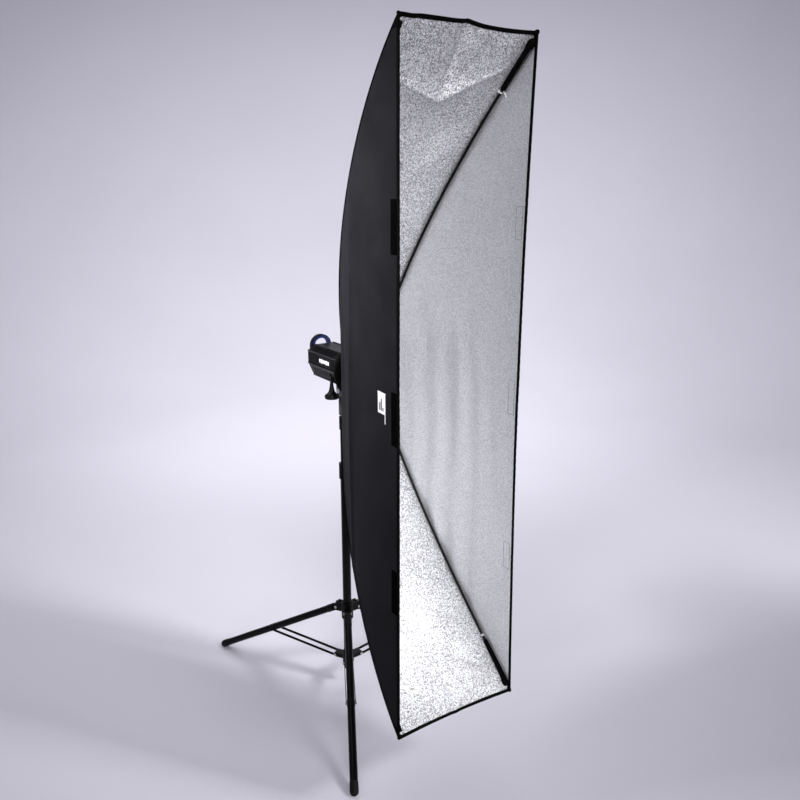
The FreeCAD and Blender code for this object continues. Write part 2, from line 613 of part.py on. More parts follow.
def bag_panel(upright, side):
    """One panel of the bag: upright is a side panel, else the top or bottom."""
    wires = []
    for t in STATIONS:
        at_end = t in (STATIONS[0], STATIONS[-1])
        x, y, z = seam(t)
        run_x, run_y, run_z = seam_slope(t)
        if upright:
            side_x, side_y = (-1.0, 0.0) if at_end else inward(run_x, run_y)
            edge = z - (SKIN + SEAM_GAP) / abs(inward(run_z, run_y)[0])
            deep_x, deep_y = x + side_x * SKIN, y + side_y * SKIN
            points = [(x, y, edge), (x, y, -edge), (deep_x, deep_y, -edge)]
            points.append((deep_x, deep_y, edge))
            points = [(side * px, py, AXIS_Z + pz) for px, py, pz in points]
        else:
            up, back = (-1.0, 0.0) if at_end else inward(run_z, run_y)
            deep_z, deep_y = z + up * SKIN, y + back * SKIN
            points = [(-x, y, z), (x, y, z), (x, deep_y, deep_z), (-x, deep_y, deep_z)]
            points = [(px, py, AXIS_Z + side * pz) for px, py, pz in points]
        wires.append(Part.makePolygon([V(*p) for p in points] + [V(*points[0])]))
    return Part.makeLoft(wires, True, True)


def seam_rod_controls():
    """Rod axis: the seam, moved in far enough to clear the two panels."""
    insets = ((3.0, 6.5, 3.0), (6.5, 6.0, 5.5), (8.5, 5.0, 7.5))
    seam_controls = (ROD_BACK, ROD_BEND_REAR, ROD_BEND_FRONT)
    controls = [tuple(c - i for c, i in zip(control, inset))
                for control, inset in zip(seam_controls, insets)]
    return controls + [(BOX_HALF_W - 7, 6.0, BOX_HALF_H - 15)]


def seam_rod_point(t):
    x, depth, z = bezier(t, seam_rod_controls())
    return V(x, FRONT_Y + depth, AXIS_Z + z)


def seam_rod_start():
    start = seam_rod_point(0.0)
    heading = seam_rod_point(0.01) - start
    heading.normalize()
    return start, heading


def seam_rod():
    """Sprung rod in the upper right seam, as a chain of short facets."""
    wires = []
    count = 14
    for step in range(count + 1):
        t = step / count
        centre = seam_rod_point(t)
        heading = seam_rod_point(min(t + 0.01, 1)) - seam_rod_point(max(t - 0.01, 0))
        heading.normalize()
        side = heading.cross(V(0, 1, 0))
        side.normalize()
        other = heading.cross(side)
        ring = []
        for corner in range(10):
            angle = corner * math.pi / 5
            offset = side * math.cos(angle) + other * math.sin(angle)
            ring.append(centre + offset * ROD_R)
        wires.append(Part.makePolygon(ring + [ring[0]]))
    return Part.makeLoft(wires, True, True)


def mirrored(shape, side_x, side_z):
    """Copy of an upper right piece in another quarter of the bag."""
    copy = shape.copy()
    if side_x < 0:
        copy = copy.mirror(V(0, 0, 0), V(1, 0, 0))
    if side_z < 0:
        copy = copy.mirror(V(0, 0, AXIS_Z), V(0, 0, 1))
    return copy


def bag():
    keep("bag_side_left", bag_panel(True, -1))
    keep("bag_side_right", bag_panel(True, 1))
    keep("bag_top", bag_panel(False, 1))
    keep("bag_bottom", bag_panel(False, -1))
    rods = [mirrored(seam_rod(), sx, sz) for sx in (-1, 1) for sz in (-1, 1)]
    keep("bag_rods", *rods)
    w, h = BOX_HALF_W, BOX_HALF_H
    y0, y1 = FRONT_Y, FRONT_Y + BIND_DEPTH
    binding = box(-w - 1, w + 1, y0, y1, AXIS_Z - h - 1, AXIS_Z + h + 1)
    inner_w, inner_h = w - 3, h - 3
    binding = binding.cut(box(-inner_w, inner_w, y0 - 1, y1 + 1,
                              AXIS_Z - inner_h, AXIS_Z + inner_h))
    x, y, z = seam(STATIONS[0])
    back = FRONT_Y + RING_FRONT
    collar = box(-x, x, y, back, AXIS_Z - z, AXIS_Z + z)
    collar = collar.cut(box(-x + SKIN, x - SKIN, y - 1, back + 1,
                            AXIS_Z - z + SKIN, AXIS_Z + z - SKIN))
    keep("bag_bindings", binding, collar)


def build():
    column()
    locks()
    leg_yoke()
    lower_collar()
    for index, azimuth in enumerate(LEG_AZIMUTHS, start=1):
        leg(index, azimuth)
        brace(index, azimuth)
    bracket()
    tilt_hinge()
    head_shells()
    head_front()
    head_rear()
    rear_fittings()
    controls()
    carry_handle()
    head_inside()
    ring_parts()
    bag()


def export():
    os.makedirs("parts", exist_ok=True)
    for name, shape in PARTS.items():
        shape.exportStep(os.path.join("parts", name + ".step"))
        print("%-20s solids %d valid %s volume %.0f" % (
            name, len(shape.Solids), shape.isValid(), shape.Volume))


build()
export()
print(len(PARTS), "nodes", LINK)
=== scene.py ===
import json
import math

import bpy
import numpy as np
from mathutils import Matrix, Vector, noise


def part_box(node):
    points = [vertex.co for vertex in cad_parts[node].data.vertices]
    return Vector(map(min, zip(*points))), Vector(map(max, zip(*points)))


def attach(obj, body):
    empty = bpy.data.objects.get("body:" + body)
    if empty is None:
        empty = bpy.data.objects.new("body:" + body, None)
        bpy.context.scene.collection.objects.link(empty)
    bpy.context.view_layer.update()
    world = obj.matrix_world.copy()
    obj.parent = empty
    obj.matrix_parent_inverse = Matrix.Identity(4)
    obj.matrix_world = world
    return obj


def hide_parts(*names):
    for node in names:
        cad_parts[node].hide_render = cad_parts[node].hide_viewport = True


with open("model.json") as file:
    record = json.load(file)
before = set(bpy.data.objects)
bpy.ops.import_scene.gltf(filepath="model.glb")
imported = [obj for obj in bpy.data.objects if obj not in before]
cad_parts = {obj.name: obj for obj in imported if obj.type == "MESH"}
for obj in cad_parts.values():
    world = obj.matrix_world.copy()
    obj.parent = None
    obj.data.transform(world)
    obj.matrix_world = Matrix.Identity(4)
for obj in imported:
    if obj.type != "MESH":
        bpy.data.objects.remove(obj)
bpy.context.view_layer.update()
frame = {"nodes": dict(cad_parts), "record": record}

# A strip softbox on a studio flash head and a light stand. Metres, +Z up.
# 1 view, 2 materials, 3 mesh helpers, 4 bag, 5 head, 6 the CAD's own pieces, 7 finish.

MM = 0.001
NODES = frame["nodes"]


# ---------------------------------------------------------------- 1 view
CAMERA_AT = (-1.0370, -1.9024, 1.5149)
CAMERA_DOWN = 15.07           # degrees below level
CAMERA_TURN = -32.93          # degrees about Z
CAMERA_LENS = 34.87           # mm on a 36 mm wide sensor

# Name, place, aim, size (m), power (W) and spread (degrees) of each lamp.
LAMPS = (
    ("key", (0.80, -3.10, 1.75), (0, -0.35, 0.80), (1.1, 1.0), 5.6, 50),
    ("side", (1.40, -2.20, 2.40), (0, -0.22, 0.70), (0.6, 0.6), 3.6, 28),
    ("front", (-1.20, -3.00, 1.60), (0.15, -0.40, 1.12), (1.0, 1.2), 10, 60),
    ("upper", (-1.70, 0.30, 2.30), (-0.17, -0.15, 1.50), (0.5, 0.5), 7.5, 38),
    ("backdrop", (1.2, 1.9, 2.9), (2.0, 3.0, 0.5), (2.4, 1.6), 88, 160),
    ("overhead", (0.2, 0.6, 5.0), (0.3, 0.9, 0), (3.0, 3.0), 27, 180),
)


def make_camera():
    data = bpy.data.cameras.new("camera")
    data.lens = CAMERA_LENS
    data.sensor_width = 36.0
    data.clip_start = 0.05
    camera = bpy.data.objects.new("camera", data)
    camera.location = CAMERA_AT
    camera.rotation_euler = (math.radians(90 - CAMERA_DOWN), 0, math.radians(CAMERA_TURN))
    bpy.context.scene.collection.objects.link(camera)
    bpy.context.scene.camera = camera


def area_light(name, at, target, size, watts, spread):
    data = bpy.data.lights.new(name, "AREA")
    data.shape = "RECTANGLE"
    data.size, data.size_y = size
    data.energy = watts
    data.spread = math.radians(spread)
    light = bpy.data.objects.new(name, data)
    light.location = at
    aim = Vector(target) - Vector(at)
    light.rotation_euler = aim.to_track_quat("-Z", "Y").to_euler()
    light.visible_camera = False
    bpy.context.scene.collection.objects.link(light)


def make_light():
    world = bpy.data.worlds.new("studio")
    world.use_nodes = True
    ambient = world.node_tree.nodes["Background"]
    ambient.inputs["Color"].default_value = (0.90, 0.89, 0.96, 1)
    ambient.inputs["Strength"].default_value = 0.52
    bpy.context.scene.world = world
    bpy.context.scene.view_settings.view_transform = "Standard"
    for lamp in LAMPS:
        area_light(*lamp)


def make_floor(material):
    """Round floor that curves up into a low wall, so no edge shows behind the object."""
    radius, bend, height = 3.4, 2.4, 6.0
    profile = [(0.02, 0.0), (0.6, 0.0), (1.6, 0.0), (2.6, 0.0)]
    profile += [(radius + bend * math.sin(a), bend * (1 - math.cos(a)))
                for a in np.linspace(0, math.pi / 2, 14)]
    profile.append((radius + bend, height))
    count = 96
    below = 0.0002            # the feet stand at 0
    points, faces = [], []
    for r, z in profile:
        for k in range(count):
            a = 2 * math.pi * k / count
            points.append((r * math.cos(a), r * math.sin(a), z - below))
    for i in range(len(profile) - 1):
        for k in range(count):
            j = (k + 1) % count
            faces.append((i * count + k, i * count + j,
                          (i + 1) * count + j, (i + 1) * count + k))
    faces.append(tuple(reversed(range(count))))
    floor = mesh_object("studio_floor", points, faces, [material])


# ---------------------------------------------------------------- 2 materials
class Paint:
    """A material under construction: its nodes, with short calls to add and join them."""

    def __init__(self, name, **sockets):
        self.material = bpy.data.materials.new(name)
        self.material.use_nodes = True
        self.tree = self.material.node_tree
        self.shader = self.tree.nodes["Principled BSDF"]
        for key, value in sockets.items():
            self.shader.inputs[key.replace("_", " ")].default_value = value

    def node(self, kind, **settings):
        made = self.tree.nodes.new("ShaderNode" + kind)
        for key, value in settings.items():
            setattr(made, key, value)
        return made

    def join(self, source, target):
        self.tree.links.new(source, target)

    def coords(self, kind="Object"):
        return self.node("TexCoord").outputs[kind]

    def noise(self, scale, detail=3.0, rough=0.5, vector=None):
        made = self.node("TexNoise")
        made.inputs["Scale"].default_value = scale
        made.inputs["Detail"].default_value = detail
        made.inputs["Roughness"].default_value = rough
        self.join(vector or self.coords(), made.inputs["Vector"])
        return made.outputs["Fac"]

    def cells(self, scale, vector=None, output="Color"):
        made = self.node("TexVoronoi")
        made.inputs["Scale"].default_value = scale
        self.join(vector or self.coords(), made.inputs["Vector"])
        return made.outputs[output]

    def waves(self, scale, vector, direction, distortion=0.0):
        made = self.node("TexWave", bands_direction=direction)
        made.inputs["Scale"].default_value = scale
        made.inputs["Distortion"].default_value = distortion
        self.join(vector, made.inputs["Vector"])
        return made.outputs["Fac"]

    def ramp(self, value, stops):
        made = self.node("ValToRGB")
        points = made.color_ramp.elements
        points[0].position, points[0].color = stops[0][0], (*stops[0][1], 1)
        points[1].position, points[1].color = stops[-1][0], (*stops[-1][1], 1)
        for place, colour in stops[1:-1]:
            point = points.new(place)
            point.color = (*colour, 1)
        self.join(value, made.inputs["Fac"])
        return made.outputs["Color"]

    def span(self, value, low, high):
        made = self.node("MapRange")
        made.inputs["To Min"].default_value = low
        made.inputs["To Max"].default_value = high
        self.join(value, made.inputs["Value"])
        return made.outputs["Result"]

    def sum(self, a, b, weight=1.0):
        made = self.node("Math", operation="MULTIPLY_ADD")
        self.join(b, made.inputs[0])
        made.inputs[1].default_value = weight
        self.join(a, made.inputs[2])
        return made.outputs["Value"]

    def colour(self, value):
        self.join(value, self.shader.inputs["Base Color"])

    def roughness(self, value):
        self.join(value, self.shader.inputs["Roughness"])

    def bump(self, height, depth, strength=1.0):
        made = self.node("Bump")
        made.inputs["Strength"].default_value = strength
        made.inputs["Distance"].default_value = depth
        self.join(height, made.inputs["Height"])
        self.join(made.outputs["Normal"], self.shader.inputs["Normal"])


def grey(level, tint=1.0):
    return (level, level, level * tint)


def speckled(name, low, high, rough, scale, depth, **sockets):
    """Moulded or painted surface: fine grain, with faint rubbed patches."""
    paint = Paint(name, **sockets)
    grain = paint.noise(scale, 4.0, 0.6)
    patches = paint.noise(scale / 30, 3.0, 0.55)
    paint.colour(paint.ramp(paint.sum(paint.span(grain, 0.1, 0.5), patches, 0.6),
                            [(0.25, low), (0.75, high)]))
    paint.roughness(paint.span(patches, rough[0], rough[1]))
    paint.bump(grain, depth)
    return paint.material


def nylon():
    """Black woven nylon of the outer skin."""
    paint = Paint("nylon_black", Specular_IOR_Level=0.03)
    uv = paint.coords("UV")
    weave = paint.sum(paint.waves(420, uv, "X"), paint.waves(420, uv, "Y"))
    drift = paint.noise(9.0, 4.0, 0.6, uv)
    paint.colour(paint.ramp(drift, [(0.3, grey(0.0062, 1.2)), (0.7, grey(0.0108, 1.2))]))
    paint.roughness(paint.span(drift, 0.55, 0.68))
    paint.bump(weave, 0.00012, 0.5)
    return paint.material


def silver(name, grain, contrast, rough):
    """Pebbled silver lining: each pebble tilts and shines a little differently. The spread of
    tone from pebble to pebble, set by contrast, is painted glint and shade, not a change in the
    cloth.
    """
    paint = Paint(name, Metallic=0.82, Specular_IOR_Level=0.6)
    uv = paint.coords("UV")
    split = paint.node("SeparateColor")
    paint.join(paint.cells(grain, uv), split.inputs["Color"])
    fine = paint.noise(grain * 0.8, 2.0, 0.7, uv)
    drift = paint.noise(9.0, 3.0, 0.55, uv)
    mixed = paint.sum(paint.span(split.outputs["Red"], 0.0, 0.6), fine, 0.4)
    mixed = paint.sum(mixed, drift, 0.18)
    # Tone spread between pebbles: painted glint and shade, wider as contrast grows.
    low, high = 0.72 - contrast, 0.72 + contrast * 0.4
    paint.colour(paint.ramp(mixed, [(0.2, grey(low, 1.03)), (0.8, grey(high, 1.03))]))
    paint.roughness(paint.span(split.outputs["Green"], rough - 0.08, rough + 0.12))
    domes = paint.cells(grain, uv, "Distance")
    paint.bump(paint.sum(paint.span(domes, 1.0, 0.0), fine, 0.5), 0.0012, contrast * 1.6)
    return paint.material


def woven_tape(name, low, high, pitch):
    """Ribbed polyester tape."""
    paint = Paint(name, Specular_IOR_Level=0.015)
    uv = paint.coords("UV")
    ribs = paint.sum(paint.waves(pitch, uv, "X"), paint.waves(pitch * 1.6, uv, "Y"), 0.5)
    wear = paint.noise(30.0, 3.0, 0.6)
    paint.colour(paint.ramp(paint.sum(paint.span(ribs, 0.0, 0.5), wear, 0.5),
                            [(0.2, low), (0.8, high)]))
    paint.roughness(paint.span(wear, 0.6, 0.8))
    paint.bump(ribs, 0.0002, 0.6)
    return paint.material


def brushed(name, low, high, rough, **sockets):
    """Machined or drawn metal, with streaks along Z."""
    paint = Paint(name, Metallic=1.0, **sockets)
    stretch = paint.node("Mapping")
    stretch.inputs["Scale"].default_value = (1, 1, 0.02)
    paint.join(paint.coords(), stretch.inputs["Vector"])
    streaks = paint.noise(900, 3.0, 0.6, stretch.outputs["Vector"])
    stains = paint.noise(25, 3.0, 0.5)
    paint.colour(paint.ramp(paint.sum(streaks, stains, 0.5), [(0.4, low), (1.0, high)]))
    paint.roughness(paint.span(streaks, rough[0], rough[1]))
    paint.bump(streaks, 0.00004, 0.4)
    return paint.material


def glassy(name, tint, rough):
    paint = Paint(name, Transmission_Weight=0.9, IOR=1.46)
    film = paint.noise(40, 3.0, 0.5)
    paint.colour(paint.ramp(film, [(0.3, tint), (0.7, tuple(min(1, 1.04 * c) for c in tint))]))
    paint.roughness(paint.span(film, rough, rough + 0.08))
    return paint.material


def studio_grey():
    paint = Paint("studio_paper")
    drift = paint.noise(0.7, 3.0, 0.5)
    paint.colour(paint.ramp(drift, [(0.3, (0.60, 0.588, 0.650)), (0.7, (0.63, 0.618, 0.682))]))
    paint.roughness(paint.span(drift, 0.8, 0.9))
    return paint.material


def make_materials():
    return {
        "stand_black": speckled("stand_black", grey(0.0012), grey(0.0025, 1.1), (0.14, 0.22),
                                900, 0.00003, Specular_IOR_Level=0.12),
        "stand_plastic": speckled("stand_plastic", grey(0.0015), grey(0.0035), (0.3, 0.42),
                                  1400, 0.00008, Specular_IOR_Level=0.13),
        "steel": brushed("steel", grey(0.42), grey(0.62), (0.28, 0.42)),
        "brass": brushed("brass", (0.50, 0.34, 0.12), (0.68, 0.50, 0.20), (0.28, 0.40)),
        "rubber": speckled("rubber", grey(0.0015), grey(0.0035), (0.5, 0.65), 700,
                           0.0001, Specular_IOR_Level=0.13),
        "head_grey": speckled("head_grey", grey(0.0010), grey(0.0025, 1.05), (0.24, 0.34),
                              1700, 0.00008, Specular_IOR_Level=0.06),
        "head_dark": speckled("head_dark", grey(0.002), grey(0.004), (0.16, 0.24),
                              1500, 0.00004, Specular_IOR_Level=0.4),
        "casting": speckled("casting", grey(0.05), grey(0.08), (0.45, 0.6), 600, 0.00012,
                            Metallic=0.6),
        "handle_black": speckled("handle_black", grey(0.0012), grey(0.003), (0.3, 0.45),
                                 1300, 0.00008, Specular_IOR_Level=0.14),
        "handle_blue": speckled("handle_blue", (0.002, 0.007, 0.060), (0.006, 0.014, 0.105),
                                (0.35, 0.5), 900, 0.00006, Specular_IOR_Level=0.35),
        "glass": glassy("glass_frosted", (0.93, 0.93, 0.90), 0.3),
        "flash_glass": glassy("glass_clear", (0.95, 0.95, 0.94), 0.04),
        "board": speckled("board", (0.02, 0.09, 0.05), (0.03, 0.13, 0.07), (0.4, 0.5),
                          600, 0.0001),
        "ring_black": speckled("ring_black", grey(0.018), grey(0.03), (0.35, 0.5),
                               900, 0.00006, Metallic=0.5),
        "fabric_black": nylon(),
        "rod_black": speckled("rod_black", grey(0.001), grey(0.002), (0.35, 0.45),
                              1600, 0.00003, Specular_IOR_Level=0.12),
        "binding_black": woven_tape("binding_black", grey(0.0012), grey(0.003), 700),
        # One and the same cloth on every panel: the top and bottom get a much wider pebble
        # spread, with darker and brighter pebbles, as painted glint and shade for how the light
        # falls on them.
        "silver_side": silver("silver_side", 600, 0.28, 0.46),
        "silver_end": silver("silver_end", 500, 0.70, 0.36),
        "loop_tape": speckled("loop_tape", grey(0.0006), grey(0.0015), (0.85, 0.97), 2500,
                              0.0005, Specular_IOR_Level=0.008),
        "thread_dark": speckled("thread_dark", grey(0.02), grey(0.035), (0.6, 0.75),
                                2500, 0.0001),
        "white_tape": woven_tape("white_tape", grey(0.66), grey(0.80), 600),
        "ink_white": speckled("ink_white", grey(0.72), grey(0.82), (0.4, 0.5), 800, 0.00002),
        "ink_grey": speckled("ink_grey", grey(0.04), grey(0.06), (0.5, 0.6), 800, 0.00002),
    }


# ---------------------------------------------------------------- 3 mesh helpers
def mesh_object(name, points, faces, materials, indices=None, uvs=None):
    """Smooth-shaded mesh; indices choose each face's material."""
    mesh = bpy.data.meshes.new(name)
    mesh.from_pydata([tuple(p) for p in points], [], [tuple(f) for f in faces])
    for material in materials:
        mesh.materials.append(material)
    if indices is not None:
        mesh.polygons.foreach_set("material_index", np.asarray(indices, np.int32))
    mesh.polygons.foreach_set("use_smooth", np.ones(len(mesh.polygons), bool))
    if uvs is not None:
        layer = mesh.uv_layers.new(name="flat")
        loops = np.zeros(len(mesh.loops), np.int32)
        mesh.loops.foreach_get("vertex_index", loops)
        layer.data.foreach_set("uv", np.asarray(uvs, np.float32)[loops].ravel())
    mesh.update()
    made = bpy.data.objects.new(name, mesh)
    bpy.context.scene.collection.objects.link(made)
    return made


class Build:
    """Points, faces and flat coordinates gathered for one mesh."""

    def __init__(self):
        self.points, self.faces, self.uvs, self.marks = [], [], [], []

    def add(self, points, faces, uvs=None):
        start = len(self.points)
        self.points += [tuple(p) for p in points]
        self.uvs += [tuple(u) for u in uvs] if uvs is not None else [
            (p[0] + p[1], p[2]) for p in points]
        self.faces += [tuple(start + i for i in f) for f in faces]
        self.marks += [0] * len(faces)

    def tube(self, line, radius, sides, flat=1.0):
        """Round or oval bar along a line of points, closed at both ends."""
        line = np.asarray(line, float)
        radii = np.broadcast_to(np.asarray(radius, float), (len(line),))
        heading = np.gradient(line, axis=0)
        heading /= np.linalg.norm(heading, axis=1)[:, None]
        side = np.cross(heading[0], (0.31, 0.87, 0.38))     # no line here runs this way
        side /= np.linalg.norm(side)
        length = np.concatenate([[0], np.cumsum(np.linalg.norm(np.diff(line, axis=0), axis=1))])
        points, uvs = [], []
        for k, centre in enumerate(line):
            side = side - heading[k] * side.dot(heading[k])
            side /= np.linalg.norm(side)
            up = np.cross(heading[k], side)
            for c in range(sides):
                a = 2 * math.pi * c / sides
                points.append(centre + radii[k] * (math.cos(a) * side + flat * math.sin(a) * up))
                uvs.append((radii[k] * a, length[k]))
        faces = []
        for k in range(len(line) - 1):
            for c in range(sides):
                d = (c + 1) % sides
                faces.append((k * sides + c, k * sides + d,
                              (k + 1) * sides + d, (k + 1) * sides + c))
        last = (len(line) - 1) * sides
        faces.append(tuple(reversed(range(sides))))
        faces.append(tuple(range(last, last + sides)))
        self.add(points, faces, uvs)

    def shell(self, top, under, marks=(0, 0, 0), flat=None):
        """Closed sheet between two grids of points, shaped (rows, columns, 3).

        marks are the material numbers of its top, its underside and its edge.
        """
        rows, cols = top.shape[:2]
        count = rows * cols
        points = np.concatenate([top.reshape(-1, 3), under.reshape(-1, 3)])
        if flat is None:
            u = np.linalg.norm(np.diff(top, axis=0, prepend=top[:1]), axis=2).cumsum(0)
            v = np.linalg.norm(np.diff(top, axis=1, prepend=top[:, :1]), axis=2).cumsum(1)
            flat = np.stack([u, v], axis=2)
        uvs = np.concatenate([flat.reshape(-1, 2)] * 2)
        index = np.arange(count).reshape(rows, cols)
        a, b, c, d = index[:-1, :-1], index[1:, :-1], index[1:, 1:], index[:-1, 1:]
        upper = np.stack([a, b, c, d], axis=2).reshape(-1, 4)
        lower = np.stack([a, d, c, b], axis=2).reshape(-1, 4) + count
        rim = list(index[0, :-1]) + list(index[:-1, -1]) + list(index[-1, :0:-1])
        rim += list(index[:0:-1, 0])
        wall = [(i, j, j + count, i + count) for i, j in zip(rim, rim[1:] + rim[:1])]
        start = len(self.points)
        self.points += points.tolist()
        self.uvs += uvs.tolist()
        self.faces += (upper + start).tolist() + (lower + start).tolist()
        self.faces += [tuple(int(i) + start for i in f) for f in wall]
        self.marks += [marks[0]] * len(upper) + [marks[1]] * len(lower) + [marks[2]] * len(wall)

    def block(self, low, high, bevel):
        """Box with chamfered edges."""
        low, high = np.asarray(low, float), np.asarray(high, float)
        rings = []
        b = bevel
        for z, cut in ((low[2], b), (low[2] + b, 0), (high[2] - b, 0), (high[2], b)):
            x0, y0, x1, y1 = low[0] + cut, low[1] + cut, high[0] - cut, high[1] - cut
            rings.append([(x0 + b, y0, z), (x1 - b, y0, z), (x1, y0 + b, z), (x1, y1 - b, z),
                          (x1 - b, y1, z), (x0 + b, y1, z), (x0, y1 - b, z), (x0, y0 + b, z)])
        points = [p for ring in rings for p in ring]
        faces = [tuple(reversed(range(8))), tuple(range(24, 32))]
        for k in range(3):
            for c in range(8):
                d = (c + 1) % 8
                faces.append((k * 8 + c, k * 8 + d, (k + 1) * 8 + d, (k + 1) * 8 + c))
        self.add(points, faces)

    def finish(self, name, materials, body, slot):
        made = mesh_object(name, self.points, self.faces, materials, self.marks, self.uvs)
        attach(made, body)
        return made


# ---------------------------------------------------------------- 4 bag
SKIN = 1.2 * MM              # nylon and lining together
LIP = 1.0 * MM               # binding stands this far outside the panels in the CAD
ROD_R = 3.5 * MM
BACK_T = 0.03                # share of the seam at which the panels begin, at the ring
COLLAR_R = 78.5 * MM         # the elastic collar where it grips the speed ring
PANEL_PITCH = 5 * MM         # between the points of a panel's grid
TAPE_PITCH = 6 * MM          # the same, along a binding
TAPE_PROUD = 1.2 * MM        # thickness of the binding tape
lip_low, lip_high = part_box("bag_bindings")
FRONT_Y = lip_low.y
AXIS_Z = (lip_low.z + lip_high.z) / 2
HALF_W = (lip_high.x - lip_low.x) / 2 - LIP
HALF_H = (lip_high.z - lip_low.z) / 2 - LIP
# Cubic curves as (half width, depth behind the front, half height).
SEAM_LINE = np.array(((0.053, 0.465, 0.053), (0.1221, 0.4026, 0.3653),
                      (0.1750, 0.1623, 0.6536), (HALF_W, 0.0, HALF_H)))
ROD_LINE = np.array(((0.0500, 0.4585, 0.0500), (0.1156, 0.3966, 0.3598),
                     (0.1665, 0.1573, 0.6461), (0.1680, 0.0060, 0.7850)))


def curve(t, line):
    """Points on a cubic Bezier curve with the four control points in line."""
    t = np.asarray(t, float)[..., None]
    return ((1 - t) ** 3 * line[0] + 3 * t * (1 - t) ** 2 * line[1]
            + 3 * t ** 2 * (1 - t) * line[2] + t ** 3 * line[3])


def seam(t):
    return curve(t, SEAM_LINE)


def along(upright, t):
    """Length of cloth from the back of a panel to t, down its middle."""
    fine = np.linspace(BACK_T, 1, 600)
    line = seam(fine)[:, [0, 1]] if upright else seam(fine)[:, [2, 1]]
    steps = np.linalg.norm(np.diff(line, axis=0), axis=1)
    return np.interp(t, fine, np.concatenate([[0], np.cumsum(steps)]))


def at_length(upright, length):
    """The t at which the cloth is this long."""
    fine = np.linspace(BACK_T, 1, 600)
    return np.interp(length, along(upright, fine), fine)


def bell(value, width):
    return np.exp(-(value / width) ** 2)


def ridge(a, w, start, end, width):
    """1 on the line from start to end, falling away over width on either side."""
    (a0, w0), (a1, w1) = start, end
    da, dw = a1 - a0, w1 - w0
    share = np.clip(((a - a0) * da + (w - w0) * dw) / (da * da + dw * dw), 0, 1)
    gap = np.hypot(a - a0 - share * da, w - w0 - share * dw)
    return np.exp(-gap / width) * np.sin(math.pi * (0.12 + 0.76 * share))


def fold(a, w, start, end, width):
    """1 on a pressed fold from start to end, with a straight slope on either side."""
    (a0, w0), (a1, w1) = start, end
    da, dw = a1 - a0, w1 - w0
    share = np.clip(((a - a0) * da + (w - w0) * dw) / (da * da + dw * dw), 0, 1)
    return np.exp(-np.hypot(a - a0 - share * da, w - w0 - share * dw) / width)


def ripple(values, places, size):
    """Smooth noise, from -1 to 1, over two flat coordinates in metres."""
    flat = np.stack([values.ravel(), places.ravel()], axis=1) / size
    drawn = [noise.noise(Vector((p[0], p[1], 0.37))) for p in flat]
    return np.array(drawn).reshape(values.shape)


def by_depth(depth):
    """Share of the seam at which it lies this far behind the front."""
    table = np.linspace(0, 1, 400)
    return float(np.interp(-depth, -seam(table)[:, 1], table))


# Creases on the far panel, each from one (along, up) to another, and on the near panel,
# each as depth behind the front and height, twice.
FAR_CREASES = (((0.18, -0.30), (0.24, -0.62)), ((0.33, -0.25), (0.30, -0.60)),
               ((0.40, -0.42), (0.36, -0.66)), ((0.30, 0.60), (0.46, 0.05)))
NEAR_CREASES = ((0.300, 0.40, 0.139, 0.40), (0.184, 0.378, 0.039, 0.378),
                (0.290, 0.205, 0.061, 0.195), (0.208, 0.123, 0.065, 0.166),
                (0.285, -0.023, 0.118, -0.010), (0.118, -0.010, 0.020, -0.036))


def side_sag(t, s, hand):
    """How far a side panel lies inside its ruled surface."""
    a = along(True, t)
    w = s * seam(t)[..., 2]
    total = along(True, 1.0)
    free = 1 - s ** 2
    middle = 7 * MM if hand > 0 else -2 * MM
    sag = middle * free * np.sin(math.pi * np.clip((t - BACK_T) / 1.3, 0, 1)) ** 1.5
    front = np.clip((t - 0.55) / 0.45, 0, 1) ** 2
    sag += (10 * MM if hand > 0 else 1 * MM) * front * free
    sag += 1.6 * MM * ripple(a * 1.6, w, 0.21) * free
    sag += 0.5 * MM * ripple(a, w * 0.8, 0.05) * np.sqrt(free + 0.02)
    to_seam = (1 - np.abs(s)) * seam(t)[..., 2]
    sag += 0.55 * MM * np.exp(-to_seam / 0.02) * np.sin(a / 0.0026 + 2 * ripple(a, w, 0.04))
    sag += 0.4 * MM * np.exp(-(total - a) / 0.014) * np.sin(w / 0.003) * free
    if hand > 0:
        folds = bell(w + 0.28, 0.32) * np.sin(a / 0.0125 + w * 2.2 + 1.5 * ripple(a, w, 0.2))
        sag += 4.0 * MM * folds * bell(a - 0.28, 0.15)
        for start, end in FAR_CREASES:
            sag -= 1.1 * MM * ridge(a, w, start, end, 0.006)
    else:
        at = along(True, 0.50) + 0.02 * w
        sag -= 5 * MM * bell(a - at, 0.011) * bell(w + 0.08, 0.5)
        behind = np.clip((at - a) / 0.12, 0, 1)
        sag += 9 * MM * behind * np.clip((a - 0.03) / 0.06, 0, 1) * free
        for y0, w0, y1, w1 in NEAR_CREASES:
            line = (along(True, by_depth(y0)), w0), (along(True, by_depth(y1)), w1)
            sag -= 0.8 * MM * ridge(a, w, *line, 0.0035)
    return sag


# Folds pressed into the top and bottom panels by packing, as (across, length behind the
# front): the two arms of a V that meet at its point, and the fold from there to the front.
TOP_FOLDS = {"left": (-0.150, 0.128), "point": (0.000, 0.182), "right": (0.140, 0.085),
             "middle": (0.004, 0.140), "front": (-0.010, 0.0)}
BOTTOM_FOLDS = {"left": (-0.135, 0.115), "point": (0.012, 0.180), "right": (0.149, 0.076),
                "middle": (0.009, 0.134), "front": (-0.003, 0.0)}


